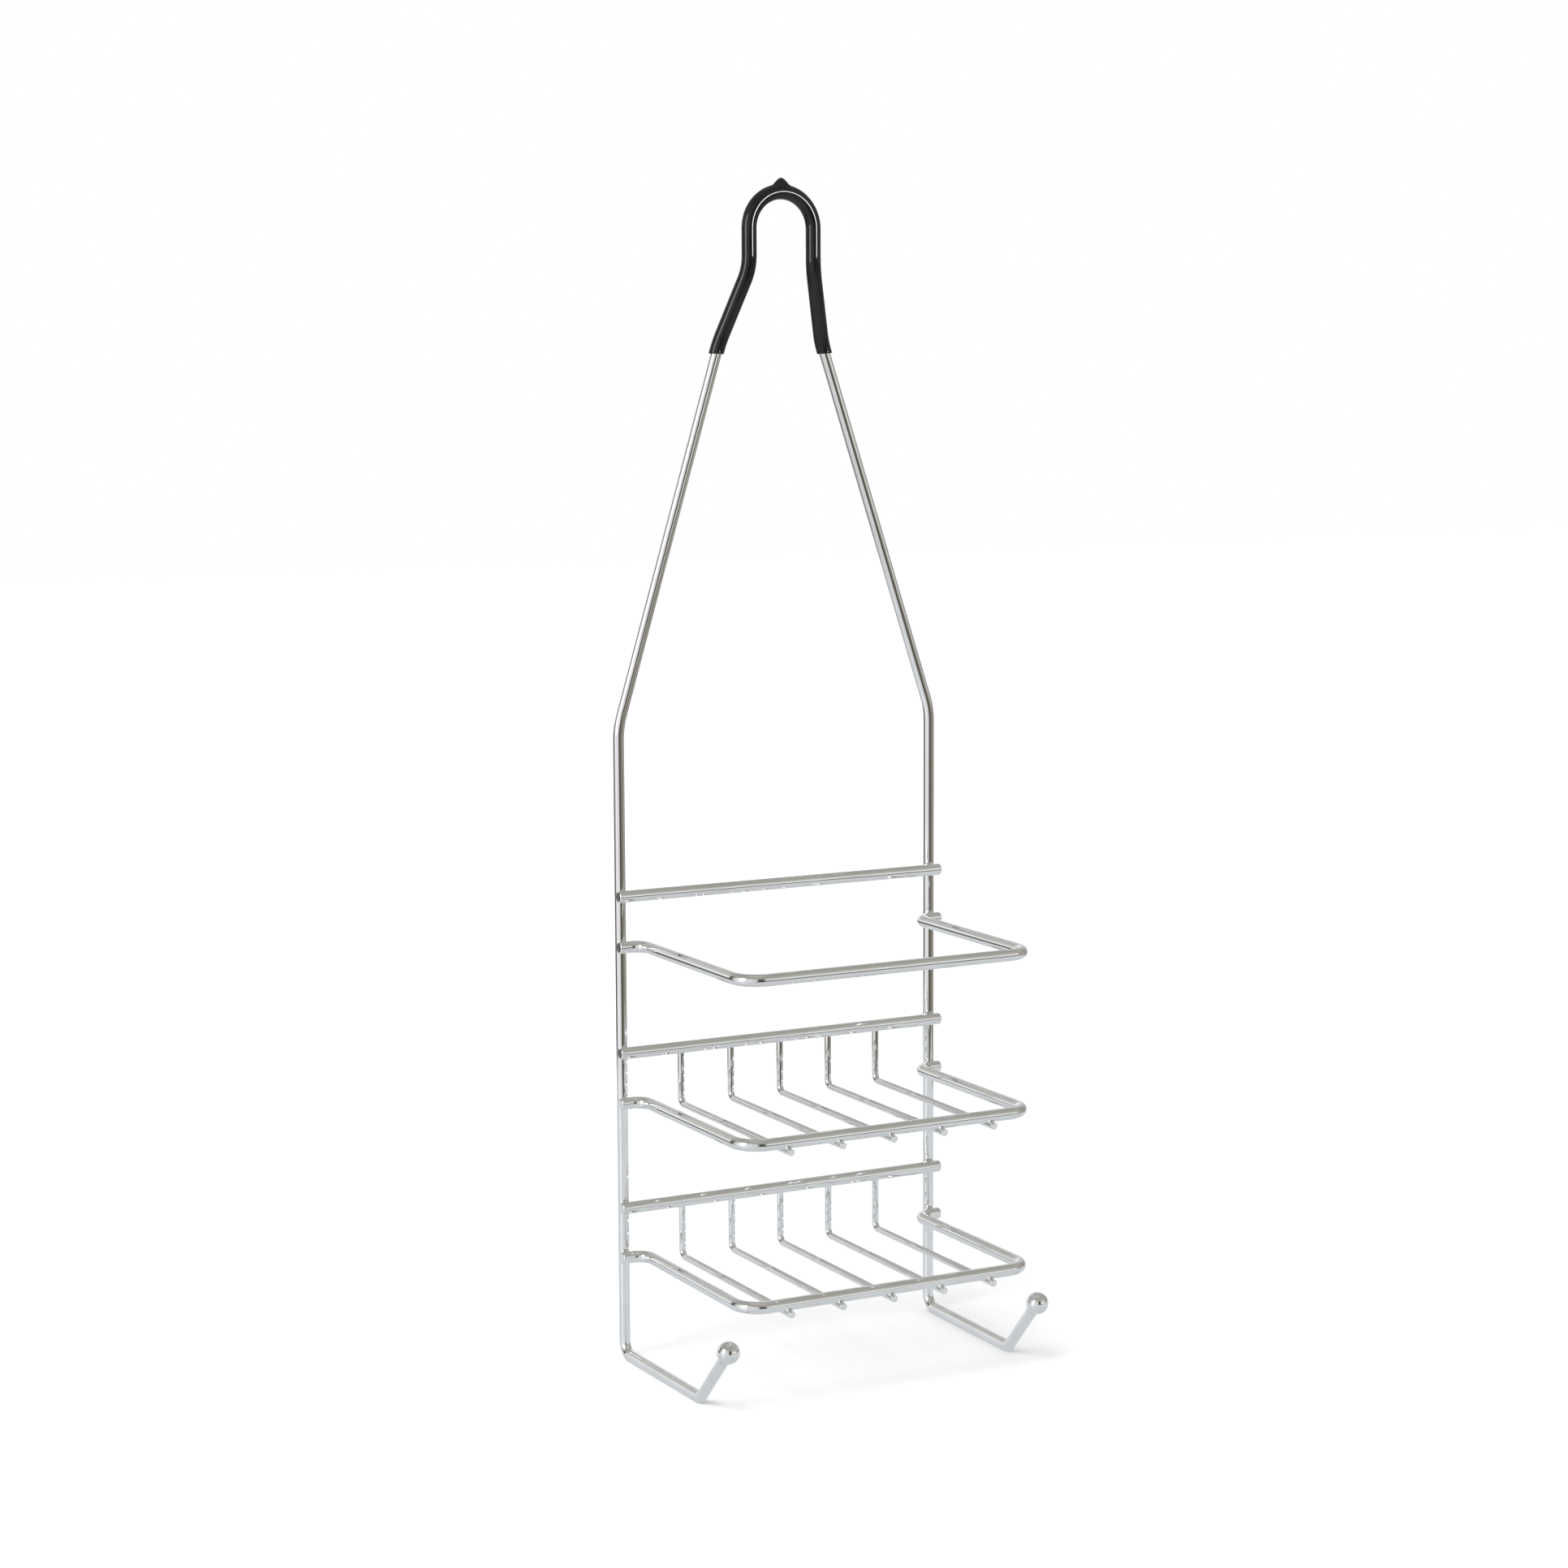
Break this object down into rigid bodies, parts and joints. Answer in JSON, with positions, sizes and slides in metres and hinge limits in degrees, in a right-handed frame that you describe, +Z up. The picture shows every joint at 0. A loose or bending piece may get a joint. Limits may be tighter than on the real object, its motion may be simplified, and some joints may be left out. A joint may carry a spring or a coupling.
{
  "type": "shower caddy",
  "caption": "Hanging shower caddy in chrome-plated steel wire, with a vinyl-dipped arch, front loops, wire shelves and ball-tipped hooks.",
  "frame": {"origin": "underside of the vinyl grip at the crown of the arch, the point that rests on the shower arm", "axes": "+Z up, +X to the right of someone facing the caddy's front, -Y towards that person and the front of the baskets"},
  "size_m": [0.183, 0.1281, 0.5854],
  "materials": {
    "chrome_plate": "bright decorative chrome plate over welded steel wire, mirror-smooth with slight waviness at the welds",
    "black_vinyl": "dipped soft vinyl, glossy black with a faint orange-peel ripple and a drip pip at the crown"
  },
  "bodies": {
    "root": {"frame_wire": "chrome_plate", "vinyl_grip": "black_vinyl", "hook_ball_left": "chrome_plate", "hook_ball_right": "chrome_plate", "upper_rail": "chrome_plate", "upper_loop": "chrome_plate", "middle_rail": "chrome_plate", "middle_loop": "chrome_plate", "lower_rail": "chrome_plate", "lower_loop": "chrome_plate", "middle_shelf_wire_1": "chrome_plate", "middle_shelf_wire_2": "chrome_plate", "middle_shelf_wire_3": "chrome_plate", "middle_shelf_wire_4": "chrome_plate", "middle_shelf_wire_5": "chrome_plate", "lower_shelf_wire_1": "chrome_plate", "lower_shelf_wire_2": "chrome_plate", "lower_shelf_wire_3": "chrome_plate", "lower_shelf_wire_4": "chrome_plate", "lower_shelf_wire_5": "chrome_plate"}
  },
  "joints": []
}
